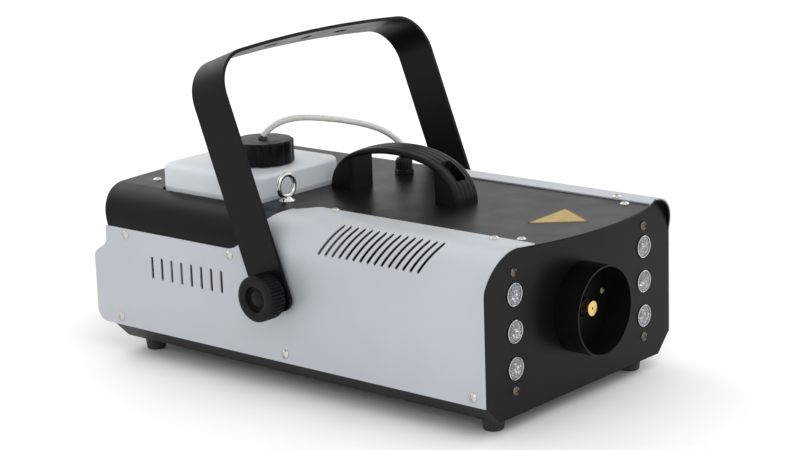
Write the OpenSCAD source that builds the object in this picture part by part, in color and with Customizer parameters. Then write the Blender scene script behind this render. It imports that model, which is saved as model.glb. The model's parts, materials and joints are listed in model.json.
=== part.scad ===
// Stage fog machine: a sheet metal body with a heater, pump, lift-off tank, six lamps and a tilting yoke.
// +Z is up and the fog leaves towards -Y. The origin is on the floor, under the middle of the machine.

/* [Body] */
// Length from the front visor to the rear ears of the side covers
body_length = 475; // [460:1:500]
// Width over the side covers
body_width = 260; // [250:1:275]
// Height of the side covers' top face above the floor
body_top = 155; // [150:1:165]
// How far the front visor stands out over the front panel
visor_reach = 26; // [18:1:30]
// Radius of the shoulders
shoulder_r = 33; // [28:1:38]
// Thickness of the sheet metal
sheet = 1.2; // [0.8:0.1:1.5]
// Height of the rubber feet
foot_h = 13; // [10:1:16]

/* [Front] */
// Outer diameter of the outlet tube
outlet_d = 76; // [70:1:80]
// How far the outlet tube stands out of the front panel
outlet_reach = 24; // [15:1:26]
// Height of the outlet's axis
outlet_z = 82.3; // [78:0.1:88]
// Diameter of the lamp lenses
lens_d = 19.4; // [16:0.2:20]
// Distance of the lamps from the middle
lens_x = 90.2; // [85:0.1:94]
// Height of the lowest lamp
lens_z = 52.6; // [50:0.1:56]
// Distance between one lamp and the next
lens_pitch = 30.5; // [28:0.1:32]

/* [Side covers] */
// Distance of the covers' top edge from the middle
flange_x = 80; // [76:1:84]
// Number of slanted slots in each shoulder
slot_count = 15; // [8:1:15]
// Distance between slanted slots
slot_pitch = 7.6; // [7:0.1:7.6]
// Number of upright vents in each side
vent_count = 8; // [4:1:8]
// Distance between upright vents
vent_pitch = 12.3; // [10:0.1:12.3]

/* [Yoke] */
// Width of the steel strap
yoke_w = 40; // [38:0.5:46]
// Thickness of the steel strap
yoke_t = 3; // [2.5:0.5:3]
// Distance from the pivot to the top of the strap
yoke_rise = 210; // [195:1:220]
// Lean of the yoke towards the rear, in degrees
yoke_lean = 21; // [0:0.5:30]
// Radius of the yoke's upper corners
yoke_corner_r = 36; // [30:1:45]
// Diameter of the clamping knobs
knob_d = 40; // [36:1:42]

/* [Tank] */
// Width of the tank
tank_w = 113; // [105:1:114]
// Length of the tank
tank_l = 119; // [110:1:120]
// Height of the tank's top face above the floor
tank_top = 177; // [172:1:178]
// Diameter of the screw cap
cap_d = 55; // [50:1:56]
// Outer diameter of the suction hose
hose_d = 5.5; // [5:0.5:6]

/* [Carrying handle] */
// Length of the handle along the body
handle_l = 144; // [136:1:148]
// Width of the handle
handle_w = 30; // [26:1:32]
// Rise of the handle over the top shell
handle_h = 43; // [42:1:48]

/* [Hidden] */
half_w = body_width / 2;
front_y = visor_reach - body_length / 2;    // outer face of the front panel
rear_depth = 430;                           // front panel's face to rear panel's face
fit = 0.1;                                  // air between the covers and what they lie over
shell_in = sheet + fit;                     // top shell's face, in from the covers' face
inner_in = shell_in + sheet + fit;          // front and rear panels' edge, in from the covers' face
shell_low = 106;                            // lower edge of the top shell's sides
tray_rise = 44;                             // upper edge of the base tray's sides
cover_low = 29;                             // lower edge of the side covers
chamfer = 16.7;                             // slanted edge of the base tray
lean_z = 122;                               // the visors lean out above this height
front_lean = 8.6;
rear_lean = 12;
shell_top = body_top - shell_in;
front_arc_r = 262;                          // plan radius of the front visor's edge
rear_arc_r = 790;                           // plan radius of the rear edge
rear_reach = 18;                            // rear edge of the top shell behind the rear panel
pivot = [222.5, 89.5];                      // yoke axis: depth behind the front panel, height
pivot_y = front_y + pivot.x;
stud_r = 3.95;
hole_r = 4.05;
washer_t = 2.6;
arm_in = half_w + washer_t + 0.4;           // inner face of the yoke's arms
arm_out = arm_in + yoke_t;
yoke_bow = 1200;                            // centre of the top bar's bow below the pivot
knob_in = arm_out + 0.4;
knob_t = 19.6;
tank_x = -101;                              // tank's left face
tank_y = front_y + 270;                     // tank's front face
tank_base = 48;
tank_r = 12;
cap_at = [-48.5, front_y + 309];
cap_base = tank_top + 0.6;
cap_top = 198;
gland_at = [62.7, front_y + 241];
gland_top = 171;
eye_at = [-75.6, front_y + 256.6];
eye_z = 167.3;
handle_mid = front_y + 189;
handle_foot = 12.5;                         // handle fixing screws, in from the handle's ends
heater = [64, 160, 64];                     // heater block: width, length, height
heater_y = front_y + 18;
heater_low = outlet_z - heater.z / 2;
pump_at = [60, front_y + 248, 60];          // middle of the pump
screw_r = 1.95;
rear_y = front_y + rear_depth;              // outer face of the rear panel
inlet_at = [-72, 62];                       // rear panel fittings: across, height
switch_at = [-22, 62];
fuse_at = [-104, 104];
dmx_in_at = [32, 62];
dmx_out_at = [82, 62];
display_at = [42, 112];
button_x = [74, 86, 98, 110];
paint = "#1c1c1e";
silver = "#c3c9cf";
steel = "#b9bcc0";
plastic = "#17181a";
circuit = "#1f5a3a";
// Free route of the suction hose from the cap to the gland: across, depth behind the panel, height
hose_route = [[-48.5, 309, 198.6], [-48.5, 309, 200], [-47.4, 308.3, 203], [-44.6, 306.6, 206],
    [-40, 303.8, 208.8], [-34, 300.1, 211.3], [-25.5, 294.9, 213.2], [-15.1, 288.6, 213.5],
    [-6, 283, 212.4], [4.4, 276.6, 210.4], [17.5, 268.6, 207.2], [30.6, 260.6, 203], [43.7, 252.6, 197],
    [50.3, 248.6, 192.4], [56.4, 244.8, 186.6], [60.8, 242.2, 180.6], [62.7, 241, 174.8],
    [62.7, 241, 171]];
feed_route = [[62.7, 241, 138], [62.7, 241, 130], [62.6, 244, 119], [62.3, 254, 108], [61.8, 270, 99],
    [61.2, 288, 91], [60.6, 303, 82], [60.2, 309, 72], [60, 305, 63], [60, 298, 60], [60, 293, 60]];
delivery_route = [[60, 203, 60], [60, 197, 60], [57, 191, 61], [49, 188, 65], [37, 188, 70], [24, 188, 76],
    [11, 188, 81], [3, 186.5, 82.3], [0, 182, 82.3], [0, 178, 82.3]];
cover_outline = [[0, cover_low, 0], [0, lean_z, 30], [-front_lean, body_top + 0.6, 0],
    [233.6, body_top + 0.6, 24], [269.8, 120, 24], [432, 120, 1.5], [432, 104, 8], [449, 93, 8],
    [449, cover_low, 12]];
cover_holes = [[12.1, 36.6], [214.9, 36.6], [417.9, 36.6], [275.9, 114.1], [406.4, 114.1]];
flange_holes = [[84.7, 22.9], [83, 194]];
shell_holes = [[71.6, 5.9], [77.6, 416.5]];
panel_holes = [[lens_x, 33.8], [lens_x, 131.8]];

// ---- outlines and shared shapes ----

// Points of a corner p between a and b, rounded to radius r
function corner(a, p, b, r, n = 8) =
    r == 0 ? [p] :
    let (u = (a - p) / norm(a - p), w = (b - p) / norm(b - p), half = acos(u * w) / 2,
         c = p + (u + w) / norm(u + w) * r / sin(half),
         s = p + u * r / tan(half) - c, e = p + w * r / tan(half) - c,
         from = atan2(s.y, s.x), turn = (atan2(e.y, e.x) - from + 540) % 360 - 180)
    [for (i = [0:n]) c + r * [cos(from + turn * i / n), sin(from + turn * i / n)]];

// Outline through [x, y, corner radius] points
function rounded(pts) = [for (i = [0:len(pts) - 1])
    let (a = pts[(i + len(pts) - 1) % len(pts)], p = pts[i], b = pts[(i + 1) % len(pts)])
    each corner([a.x, a.y], [p.x, p.y], [b.x, b.y], p.z)];

// Rounded rectangle with its lower left corner at the origin
module soft_rect(size, r) {
    translate([r, 0]) square([size.x - 2 * r, size.y]);
    translate([0, r]) square([size.x, size.y - 2 * r]);
    for (x = [r, size.x - r], y = [r, size.y - r]) translate([x, y]) circle(r, $fn = 48);
}

// Slot with round ends, centred, its length along X
module slot_2d(long, wide) {
    translate([-(long - wide) / 2, -wide / 2]) square([long - wide, wide]);
    for (s = [-1, 1]) translate([s * (long - wide) / 2, 0]) circle(d = wide, $fn = 24);
}

// Extrude an X-Z outline along Y, from y0 to y1
module along_y(y0, y1) translate([0, y1, 0]) rotate([90, 0, 0]) linear_extrude(y1 - y0) children();

// Extrude a Y-Z outline along X, from x0 to x1
module along_x(x0, x1) translate([x0, 0, 0]) rotate([90, 0, 90]) linear_extrude(x1 - x0) children();

// Turned about an axis along +X or +Y: profiles are [radius, distance along the axis]
module turned_x(n = 96) rotate([0, 90, 0]) rotate_extrude($fn = n) children();
module turned_y(n = 96) rotate([-90, 0, 0]) rotate_extrude($fn = n) children();

module both_sides() { children(); mirror([1, 0, 0]) children(); }

// Cross-section of the body with round shoulders, "inset" in from the covers' faces
module hood_section(inset, low) {
    r = shoulder_r - inset;
    flat = half_w - shoulder_r;
    shoulder_z = body_top - shoulder_r;
    translate([-flat - r, low]) square([2 * (flat + r), shoulder_z - low]);
    translate([-flat, low]) square([2 * flat, shoulder_z + r - low]);
    for (s = [-1, 1]) intersection() {
        translate([s * flat, shoulder_z]) circle(r, $fn = 120);
        translate([-half_w, low]) square([body_width, body_top]);
    }
}

// Cross-section of the body below the shoulders, with the tray's slanted edges
module lower_section(inset, low) {
    w = half_w - inset;
    cut = chamfer - (low - foot_h) * (sqrt(2) - 1);
    polygon([[-w + cut, low], [w - cut, low], [w, low + cut], [w, shell_low - 0.4],
        [-w, shell_low - 0.4], [-w, low + cut]]);
}

// Plan of the flat top with its bowed front and rear edges
module top_plan() {
    flat = half_w - shoulder_r;
    intersection() {
        translate([0, front_y - visor_reach + front_arc_r]) circle(front_arc_r, $fn = 240);
        translate([-flat, front_y - visor_reach - 1]) square([2 * flat, 200]);
    }
    intersection() {
        translate([0, rear_y + rear_reach - rear_arc_r]) circle(rear_arc_r, $fn = 600);
        translate([-flat, front_y + 100]) square([2 * flat, 400]);
    }
}

// Pan head screw, pointing down, its head standing on z = 0
module screw(long = 7) {
    difference() {
        union() {
            intersection() {
                cylinder(h = 2.4, r = 4, $fn = 48);
                translate([0, 0, -2.6]) sphere(r = 5, $fn = 64);
            }
            translate([0, 0, -long]) cylinder(h = long, r = screw_r, $fn = 32);
        }
        for (a = [0, 90]) rotate([0, 0, a + 20]) translate([-2.3, -0.45, 1.2]) cube([4.6, 0.9, 2]);
    }
}

// Hexagonal nut along Z with a plain hole
module nut(across, high, r) {
    difference() {
        cylinder(h = high, d = across / cos(30), $fn = 6);
        translate([0, 0, -1]) cylinder(h = high + 2, r = r, $fn = 48);
    }
}

// Tube swept along a route: rings of n points set square to the path
function unit(p) = p / norm(p);
function tangent(path, i) = unit(path[min(i + 1, len(path) - 1)] - path[max(i - 1, 0)]);
function ring(c, t, r, n) =
    let (side = unit(cross(t, abs(t.z) > 0.7 ? [1, 0, 0] : [0, 0, 1])), up = cross(side, t))
    [for (k = [0:n - 1]) c + r * (cos(360 * k / n) * side + sin(360 * k / n) * up)];
// Turns a ring's start so that it faces the ring before it, which keeps the sides straight
function best_shift(a, b, n) =
    let (d = [for (s = [0:n - 1]) norm(a[0] - b[s])], least = min(d))
    [for (s = [0:n - 1]) if (d[s] == least) s][0];
function linked(path, r, n, i = 0, last = []) =
    i == len(path) ? [] :
    let (raw = ring(path[i], tangent(path, i), r, n),
         s = i == 0 ? 0 : best_shift(last, raw, n),
         now = [for (k = [0:n - 1]) raw[(k + s) % n]])
    concat([now], linked(path, r, n, i + 1, now));
module swept_tube(route, r, n = 10) {
    path = [for (p = route) [p.x, front_y + p.y, p.z]];
    rings = linked(path, r, n);
    m = len(path);
    polyhedron(points = [for (k = rings) each k],
        faces = concat([[for (k = [0:n - 1]) k]], [[for (k = [n - 1:-1:0]) (m - 1) * n + k]],
            [for (i = [0:m - 2], k = [0:n - 1], upper = [0, 1])
                let (here = i * n, next = here + n, j = (k + 1) % n)
                upper == 0 ? [here + k, next + k, next + j] : [here + k, next + j, here + j]]));
}

// ---- sheet metal ----

module base_tray() {
    color(paint) difference() {
        union() {
            along_y(front_y + sheet, rear_y - sheet) difference() {
                intersection() {
                    lower_section(shell_in, foot_h);
                    translate([-half_w, 0]) square([body_width, tray_rise]);
                }
                lower_section(shell_in + sheet, foot_h + sheet);
            }
            // end flanges that the panels are screwed to
            for (y = [front_y + sheet, rear_y - 2 * sheet])
                translate([-108, y, foot_h + sheet]) cube([216, sheet, 28]);
        }
        // room for the outlet tube's flange
        translate([0, front_y, outlet_z]) rotate([-90, 0, 0])
            cylinder(h = 4, r = outlet_d / 2 + 8, $fn = 120);
        for (h = cover_holes) if (h.y < tray_rise)
            translate([-half_w - 1, front_y + h.x, h.y]) rotate([0, 90, 0])
                cylinder(h = body_width + 2, r = screw_r + fit, $fn = 32);
        panel_screw_holes();
    }
}

module panel_sheet(y0) {
    along_y(y0, y0 + sheet) {
        lower_section(shell_in, foot_h);
        hood_section(inner_in, shell_low - 1);
    }
}

module panel_screw_holes() {
    for (s = [-1, 1], h = panel_holes) translate([s * h.x, front_y - 1, h.y]) rotate([-90, 0, 0])
        cylinder(h = rear_depth + 2, r = screw_r + fit, $fn = 32);
}

module shell_screw_holes() {
    for (s = [-1, 1], h = shell_holes) translate([s * h.x, front_y + h.y, body_top - 12])
        cylinder(h = 20, r = screw_r + fit, $fn = 32);
}

module front_panel() {
    color(paint) difference() {
        union() {
            panel_sheet(front_y);
            translate([-84, front_y, body_top - inner_in - sheet]) cube([168, 13, sheet]);
        }
        translate([0, front_y - 1, outlet_z]) rotate([-90, 0, 0])
            cylinder(h = 4, d = outlet_d + 0.4, $fn = 120);
        for (s = [-1, 1], i = [0:2]) translate([s * lens_x, front_y - 1, lens_z + i * lens_pitch])
            rotate([-90, 0, 0]) cylinder(h = 4, d = lens_d + 0.6, $fn = 64);
        panel_screw_holes();
        shell_screw_holes();
    }
}

module rear_panel() {
    color(paint) difference() {
        union() {
            panel_sheet(rear_y - sheet);
            translate([-84, rear_y - 18, body_top - inner_in - sheet]) cube([168, 18, sheet]);
        }
        panel_screw_holes();
        shell_screw_holes();
        along_y(rear_y - 4, rear_y + 1) {
            translate([inlet_at.x - 14, inlet_at.y - 10]) square([28, 20]);
            translate([switch_at.x - 7, switch_at.y - 12]) square([14, 24]);
            translate([display_at.x - 22, display_at.y - 9]) square([44, 18]);
            for (p = [dmx_in_at, dmx_out_at]) translate(p) circle(12.2, $fn = 64);
            translate([dmx_out_at.x - 3.5, dmx_out_at.y]) square([7, 15.6]);
            translate(fuse_at) circle(6.2, $fn = 48);
            for (x = button_x) translate([x, display_at.y]) circle(3.9, $fn = 48);
        }
    }
}

module top_shell() {
    color(paint) difference() {
        intersection() {
            along_y(front_y - 40, rear_y + 30) difference() {
                hood_section(shell_in, shell_low);
                hood_section(shell_in + sheet, shell_low - 1);
            }
            union() {
                along_x(-half_w, half_w) translate([front_y, 0]) polygon([[0, shell_low - 5], [0, lean_z],
                    [-front_lean, body_top], [rear_depth + rear_lean, body_top], [rear_depth, 120],
                    [rear_depth, shell_low - 5]]);
                translate([0, 0, shell_top - 3]) linear_extrude(6) top_plan();
            }
        }
        // bay for the tank
        translate([tank_x - 1.5, tank_y - 1.5, body_top - 20])
            linear_extrude(30) soft_rect([tank_w + 3, tank_l + 3], tank_r);
        // air windows behind the slanted slots
        both_sides() translate([half_w - 28, front_y + 46, 127]) cube([40, 134, 24]);
        shell_screw_holes();
        for (s = [-1, 1], h = flange_holes) translate([s * h.x, front_y + h.y, body_top - 12])
            cylinder(h = 20, r = screw_r + fit, $fn = 32);
        for (h = cover_holes) if (h.y > shell_low)
            translate([-half_w - 1, front_y + h.x, h.y]) rotate([0, 90, 0])
                cylinder(h = body_width + 2, r = screw_r + fit, $fn = 32);
        translate([gland_at.x, gland_at.y, body_top - 12]) cylinder(h = 20, r = 6.1, $fn = 48);
        translate([eye_at.x, eye_at.y, body_top - 12]) cylinder(h = 20, r = 4.1, $fn = 48);
        for (s = [-1, 1]) translate([0, handle_mid + s * (handle_l / 2 - handle_foot), body_top - 12])
            cylinder(h = 20, r = screw_r + fit, $fn = 32);
    }
}

// Left side cover; the right one is its mirror image
module side_cover() {
    slot = [[172.9, 129.5], [158.7, 152.4]];    // rearmost slanted slot, from its lower to its upper end
    run = slot[1] - slot[0];
    difference() {
        intersection() {
            along_y(front_y - 40, rear_y + 30) difference() {
                hood_section(0, cover_low);
                hood_section(sheet, cover_low - 1);
            }
            union() {
                along_x(-half_w - 1, shoulder_r - half_w)
                    translate([front_y, 0]) polygon(rounded(cover_outline));
                translate([0, 0, body_top - 3]) linear_extrude(6) intersection() {
                    top_plan();
                    translate([0, front_y]) polygon(rounded([[-half_w, -60, 0], [-flange_x, -60, 0],
                        [-flange_x, 213, 3], [shoulder_r - half_w, 225.5, 0], [-half_w, 225.5, 0]]));
                }
            }
        }
        for (i = [0:slot_count - 1])
            along_x(-half_w - 1, shoulder_r - half_w)
                translate([front_y + (slot[0].x + slot[1].x) / 2 - i * slot_pitch, (slot[0].y + slot[1].y) / 2])
                    rotate(atan2(run.y, run.x)) slot_2d(norm(run), 2.6);
        for (i = [0:vent_count - 1])
            along_x(-half_w - 1, -half_w + 3)
                translate([front_y + 373.1 - i * vent_pitch, 89]) rotate(90) slot_2d(20.2, 3);
        for (h = concat(cover_holes, [pivot]))
            translate([-half_w - 1, front_y + h.x, h.y]) rotate([0, 90, 0])
                cylinder(h = 4, r = h == pivot ? hole_r + fit : screw_r + fit, $fn = 48);
        for (h = flange_holes) translate([-h.x, front_y + h.y, body_top - 4])
            cylinder(h = 6, r = screw_r + fit, $fn = 32);
    }
}

module left_cover() { color(silver) side_cover(); }
module right_cover() { color(silver) mirror([1, 0, 0]) side_cover(); }

module feet() {
    color("#111213") for (s = [-1, 1], d = [19, 411]) translate([s * 96, front_y + d, 0])
        rotate_extrude($fn = 64)
            polygon([[0, 0], [7.6, 0], [8.5, 0.9], [10, foot_h - 1.5], [10, foot_h], [0, foot_h]]);
}

module cover_screws() {
    color(steel) both_sides() {
        for (h = cover_holes) translate([-half_w, front_y + h.x, h.y]) rotate([0, -90, 0]) screw();
        for (h = flange_holes) translate([h.x, front_y + h.y, body_top]) screw();
        for (h = shell_holes) translate([h.x, front_y + h.y, shell_top]) screw();
    }
}

module panel_screws() {
    color("#8d8a86") {
        for (s = [-1, 1], h = panel_holes) {
            translate([s * h.x, front_y, h.y]) rotate([90, 0, 0]) screw(16);
            translate([s * h.x, rear_y, h.y]) rotate([-90, 0, 0]) screw();
        }
        for (s = [-1, 1]) translate([s * 32, front_y + sheet, outlet_z + s * 6]) rotate([90, 0, 0]) screw(6);
    }
}

module top_label() {
    color("#d9bd63") translate([0, front_y, shell_top]) linear_extrude(0.3)
        polygon(rounded([[-28, 34, 2], [5, -5, 2], [32, 38, 2]]));
}

// ---- fog outlet and heater ----

module outlet_tube() {
    r = outlet_d / 2;
    color(paint) translate([0, front_y, outlet_z]) difference() {
        turned_y() polygon([[r - 1.5, -outlet_reach], [r, -outlet_reach], [r, -4], [r - 0.5, -4],
            [r - 0.5, sheet], [r + 7, sheet],
            [r + 7, 2 * sheet], [8.9, 2 * sheet], [8.9, sheet], [r - 1.5, sheet]]);
        for (s = [-1, 1]) translate([s * 32, 0, s * 6]) rotate([-90, 0, 0])
            cylinder(h = 4, r = screw_r + fit, $fn = 32);
    }
}

module nozzle_tip() {
    color("#b98f3e") translate([0, front_y, outlet_z]) difference() {
        union() {
            turned_y(64) polygon([[0, -11.5], [5.9, -11.5], [6.75, -10.7], [6.75, -5], [5, -5], [5, 18],
                [0, 18]]);
            translate([0, -5.5, 0]) rotate([-90, 0, 0]) cylinder(h = 6, d = 15 / cos(30), $fn = 6);
        }
        translate([0, -12, 0]) rotate([-90, 0, 0]) cylinder(h = 31, r = 1, $fn = 32);
    }
}

module heater_block() {
    color("#a9abae") translate([0, heater_y, heater_low]) difference() {
        translate([0, heater.y, 0]) rotate([90, 0, 0])
            linear_extrude(heater.y) translate([-heater.x / 2, 0]) soft_rect([heater.x, heater.z], 5);
        // grooves cast along the sides
        for (s = [-1, 1], z = [16, 32, 48]) translate([s * heater.x / 2, -1, z]) rotate([-90, 0, 0])
            cylinder(h = heater.y + 2, r = 2.5, $fn = 32);
    }
}

module heater_insulation() {
    gap = 0.3;
    color("#d8d2c2") translate([0, heater_y + 4, heater_low]) difference() {
        translate([-heater.x / 2 - 12, 0, -12]) cube([heater.x + 24, heater.y - 8, heater.z + 24]);
        translate([-heater.x / 2 - gap, -1, -gap])
            cube([heater.x + 2 * gap, heater.y, heater.z + 2 * gap]);
        for (y = [18, 118]) translate([-31, y - 0.5, -13]) cube([62, 13, 14]);
    }
}

module heater_shield() {
    w = heater.x / 2 + 14;
    high = heater_low + heater.z + 14 - foot_h - sheet;
    color("#9fa3a7") translate([0, heater_y + 2, foot_h + sheet]) {
        difference() {
            translate([-w, 0, 0]) cube([2 * w, heater.y - 4, high]);
            translate([-w + 1, -1, -1]) cube([2 * w - 2, heater.y, high]);
            for (i = [0:5]) translate([-w - 1, 24 + i * 20, 12]) cube([2 * w + 2, 10, 5]);
        }
        for (s = [-1, 1], y = [20, 112]) translate([s > 0 ? w : -w - 12, y, 0]) cube([12, 24, 1]);
    }
}

module heater_brackets() {
    low = foot_h + sheet;
    color(steel) for (y = [22, 122]) translate([-30, heater_y + y, low]) {
        cube([60, 12, 1.5]);
        for (x = [0, 58.5]) translate([x, 0, 0]) cube([1.5, 12, heater_low - low]);
    }
}

module thermostats() {
    for (s = [-1, 1]) translate([s * 17, heater_y + heater.y, outlet_z]) {
        color("#2b2b2d") translate([0, 0, 15]) rotate([-90, 0, 0]) cylinder(h = 8, r = 8, $fn = 48);
        color("#e9e4d8") translate([0, 0, -18]) rotate([-90, 0, 0]) cylinder(h = 12, r = 4.5, $fn = 48);
    }
}

// ---- pump and pipes ----

module pump_bracket() {
    low = foot_h + sheet;
    color(steel) translate([pump_at.x, pump_at.y, 0]) difference() {
        union() {
            translate([-26, -22, low]) cube([52, 44, 1.5]);
            for (y = [-22, 20.5]) translate([-26, y, low]) cube([52, 1.5, pump_at.z + 22 - low]);
        }
        translate([0, -30, pump_at.z]) rotate([-90, 0, 0]) cylinder(h = 60, r = 9.6, $fn = 64);
    }
}

module pump_coil() {
    color("#23272e") translate(pump_at) difference() {
        along_y(-20.4, 20.4) translate([-19, -19]) soft_rect([38, 38], 4);
        translate([0, -30, 0]) rotate([-90, 0, 0]) cylinder(h = 60, r = 9.6, $fn = 64);
    }
}

module pump_cylinder() {
    color("#b7a26a") translate(pump_at) turned_y(64) polygon([[1.2, -45], [2.6, -45], [2.6, -35], [9.5, -35],
        [9.5, 35], [2.6, 35], [2.6, 45], [1.2, 45], [1.2, 30], [6, 30], [6, -30], [1.2, -30]]);
}

module pump_piston() {
    color("#8f9296") translate(pump_at) difference() {
        turned_y(64) polygon([[0, -12], [5.2, -12], [5.95, -11.2], [5.95, 11.2], [5.2, 12], [0, 12]]);
        translate([0, -20, 0]) rotate([-90, 0, 0]) cylinder(h = 40, r = 1.2, $fn = 32);
    }
}

module feed_hose() { color("#d9d9d2") swept_tube(feed_route, 2.5); }
module delivery_pipe() { color("#b5713c") swept_tube(delivery_route, 2.2); }

// ---- tank ----

module tank() {
    wall = 2;
    neck_r = 19;
    color("#e8ebee", 0.8) difference() {
        union() {
            translate([tank_x, tank_y, tank_base]) linear_extrude(tank_top - tank_base - 5)
                soft_rect([tank_w, tank_l], tank_r);
            // top edges drawn in by steps of a quarter circle
            for (i = [0:4]) let (a = 18 * i, d = 5 * (1 - cos(a)))
                translate([tank_x + d, tank_y + d, tank_top - 5]) linear_extrude(5 * sin(a + 18))
                    soft_rect([tank_w - 2 * d, tank_l - 2 * d], tank_r - d);
            translate([cap_at.x, cap_at.y, tank_top - 1]) cylinder(h = 14, r = neck_r, $fn = 96);
        }
        translate([tank_x + wall, tank_y + wall, tank_base + wall])
            linear_extrude(tank_top - tank_base - 5 - wall)
                soft_rect([tank_w - 2 * wall, tank_l - 2 * wall], tank_r - wall);
        translate([tank_x + 7, tank_y + 7, tank_base + wall]) linear_extrude(tank_top - tank_base - 2 * wall)
            soft_rect([tank_w - 14, tank_l - 14], 5);
        translate([cap_at.x, cap_at.y, tank_top - 10]) cylinder(h = 40, r = neck_r - 2.5, $fn = 96);
    }
}

module tank_cradle() {
    color("#8b8f93") difference() {
        union() {
            translate([tank_x - 3, tank_y - 2, tank_base - 1]) cube([tank_w + 5, tank_l + 4, 1]);
            // side walls, seen through the vents
            translate([tank_x - 3, tank_y - 2, tank_base - 1]) cube([1, 86, 62]);
            translate([tank_x + tank_w + 1, tank_y - 2, tank_base - 1]) cube([1, 86, 62]);
            // legs down to the base tray
            for (x = [tank_x - 3, tank_x + tank_w + 1]) translate([x, tank_y + 10, foot_h + sheet])
                cube([1, tank_l - 20, tank_base - foot_h - sheet]);
        }
        translate([tank_x + tank_w / 2, tank_y + tank_l / 2, tank_base - 2])
            cylinder(h = 4, r = 20, $fn = 64);
    }
}

module tank_cap() {
    flutes = 24;
    color(plastic) translate([cap_at.x, cap_at.y, 0]) difference() {
        union() {
            translate([0, 0, cap_base]) cylinder(h = cap_top - cap_base - 2, d = cap_d, $fn = 120);
            translate([0, 0, cap_top - 2]) cylinder(h = 2, r1 = cap_d / 2, r2 = cap_d / 2 - 2, $fn = 120);
        }
        for (i = [0:flutes - 1]) rotate([0, 0, i * 360 / flutes])
            translate([cap_d / 2 + 1, 0, cap_base - 1])
            cylinder(h = cap_top - cap_base + 2, r = 2.2, $fn = 24);
        translate([0, 0, cap_base - 1]) cylinder(h = cap_top - cap_base - 2, r = 19.4, $fn = 96);
        translate([0, 0, cap_base]) cylinder(h = 40, r = hose_d / 2 + 0.45, $fn = 48);
    }
}

module dip_tube() {
    color("#dfe3e4") translate([cap_at.x, cap_at.y, 62])
        cylinder(h = hose_route[0].z - 62, d = hose_d, $fn = 32);
}

module suction_filter() {
    color("#c9ccce") translate([cap_at.x, cap_at.y, 0]) rotate_extrude($fn = 48)
        polygon([[0, tank_base + 2], [6.5, tank_base + 2], [7.5, tank_base + 3.5], [7.5, 58], [5, 62],
            [0, 62]]);
}

module suction_hose() { color("#e4e6e4", 0.7) swept_tube(hose_route, hose_d / 2, 12); }

module hose_gland() {
    color(plastic) translate([gland_at.x, gland_at.y, 0]) difference() {
        union() {
            translate([0, 0, shell_top]) cylinder(h = 3, r = 9, $fn = 64);
            translate([0, 0, shell_top + 3]) cylinder(h = 7.5, r = 8, $fn = 64);
            translate([0, 0, shell_top + 10.5])
                cylinder(h = gland_top - shell_top - 10.5, r1 = 7.6, r2 = 4.2, $fn = 64);
            translate([0, 0, 138]) cylinder(h = shell_top - 138, r = 6, $fn = 48);
        }
        for (i = [0:15]) rotate([0, 0, i * 22.5]) translate([8.6, 0, shell_top + 3])
            cylinder(h = 20, r = 1.1, $fn = 16);
        translate([0, 0, 130]) cylinder(h = 60, r = 1.8, $fn = 32);
    }
}

module gland_nut() {
    color(plastic) translate([gland_at.x, gland_at.y, shell_top - sheet - 5]) nut(17, 5, 6.1);
}

// ---- handle and lifting eye ----

// Outline of the handle's bow, drawn in by "in"; the exponent makes it squarer than an ellipse
function handle_bow(in, swell = 2.2) = [for (a = [0:5:180])
    [(handle_l / 2 - in) * sign(cos(a)) * pow(abs(cos(a)), 2 / swell),
     shell_top + (handle_h - in) * pow(abs(sin(a)), 2 / swell)]];

module carry_handle() {
    half = handle_l / 2;
    gap = concat([[47, shell_top - 1]], [for (u = [47:-9.4:-47]) [u, shell_top + 37 - 8 * pow(u / 47, 2)]],
        [[-47, shell_top - 1]]);
    color(plastic) translate([0, handle_mid, 0]) difference() {
        along_x(-handle_w / 2, handle_w / 2) difference() { polygon(handle_bow(0)); polygon(gap); }
        // lengthwise grooves over the grip
        for (x = [-9, 7.5]) along_x(x, x + 1.5)
            difference() { polygon(handle_bow(-1)); polygon(handle_bow(1.2)); }
        // pockets in the ends, over the fixing screws
        for (s = [-1, 1]) translate([-5.5, s * (half - handle_foot) - 7, shell_top + 8]) cube([11, 14, 60]);
        for (s = [-1, 1]) translate([0, s * (half - handle_foot), shell_top - 1])
            cylinder(h = 20, r = screw_r + fit, $fn = 32);
    }
}

module handle_screws() {
    color(steel) for (s = [-1, 1])
        translate([0, handle_mid + s * (handle_l / 2 - handle_foot), shell_top + 8]) screw(14);
}

module eye_bolt() {
    color("#d2d4d6") translate([eye_at.x, eye_at.y, 0]) {
        translate([0, 0, shell_top]) cylinder(h = 1, r = 7.4, $fn = 64);
        translate([0, 0, shell_top + 1]) cylinder(h = 3.6, r1 = 7.4, r2 = 3.4, $fn = 64);
        translate([0, 0, 140]) cylinder(h = shell_top - 140, r = 4, $fn = 48);
        translate([0, 0, eye_z]) rotate([90, 0, 0]) rotate_extrude($fn = 96)
            translate([9.7, 0]) circle(2.2, $fn = 32);
    }
}

module eye_bolt_nut() {
    color(steel) translate([eye_at.x, eye_at.y, shell_top - sheet - 6.5]) nut(13, 6.5, 4.1);
}

// ---- yoke ----

// The yoke's strap, flat on: across, distance above the pivot. Its bowed top runs tangent into the bends.
module yoke_section(out, top, r) {
    bow = yoke_bow + top;
    bend = [out - r, sqrt(pow(bow - r, 2) - pow(out - r, 2)) - yoke_bow];
    touch = bend + r * [bend.x, bend.y + yoke_bow] / (bow - r);
    translate([-out, -17]) square([2 * out, bend.y + 17]);
    for (s = [-1, 1]) translate([s * bend.x, bend.y]) circle(r, $fn = 120);
    intersection() {
        translate([0, -yoke_bow]) circle(bow, $fn = 720);
        polygon([[-bend.x, 0], [bend.x, 0], bend, touch, [0, top + r], [-touch.x, touch.y],
            [-bend.x, bend.y]]);
    }
}

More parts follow.
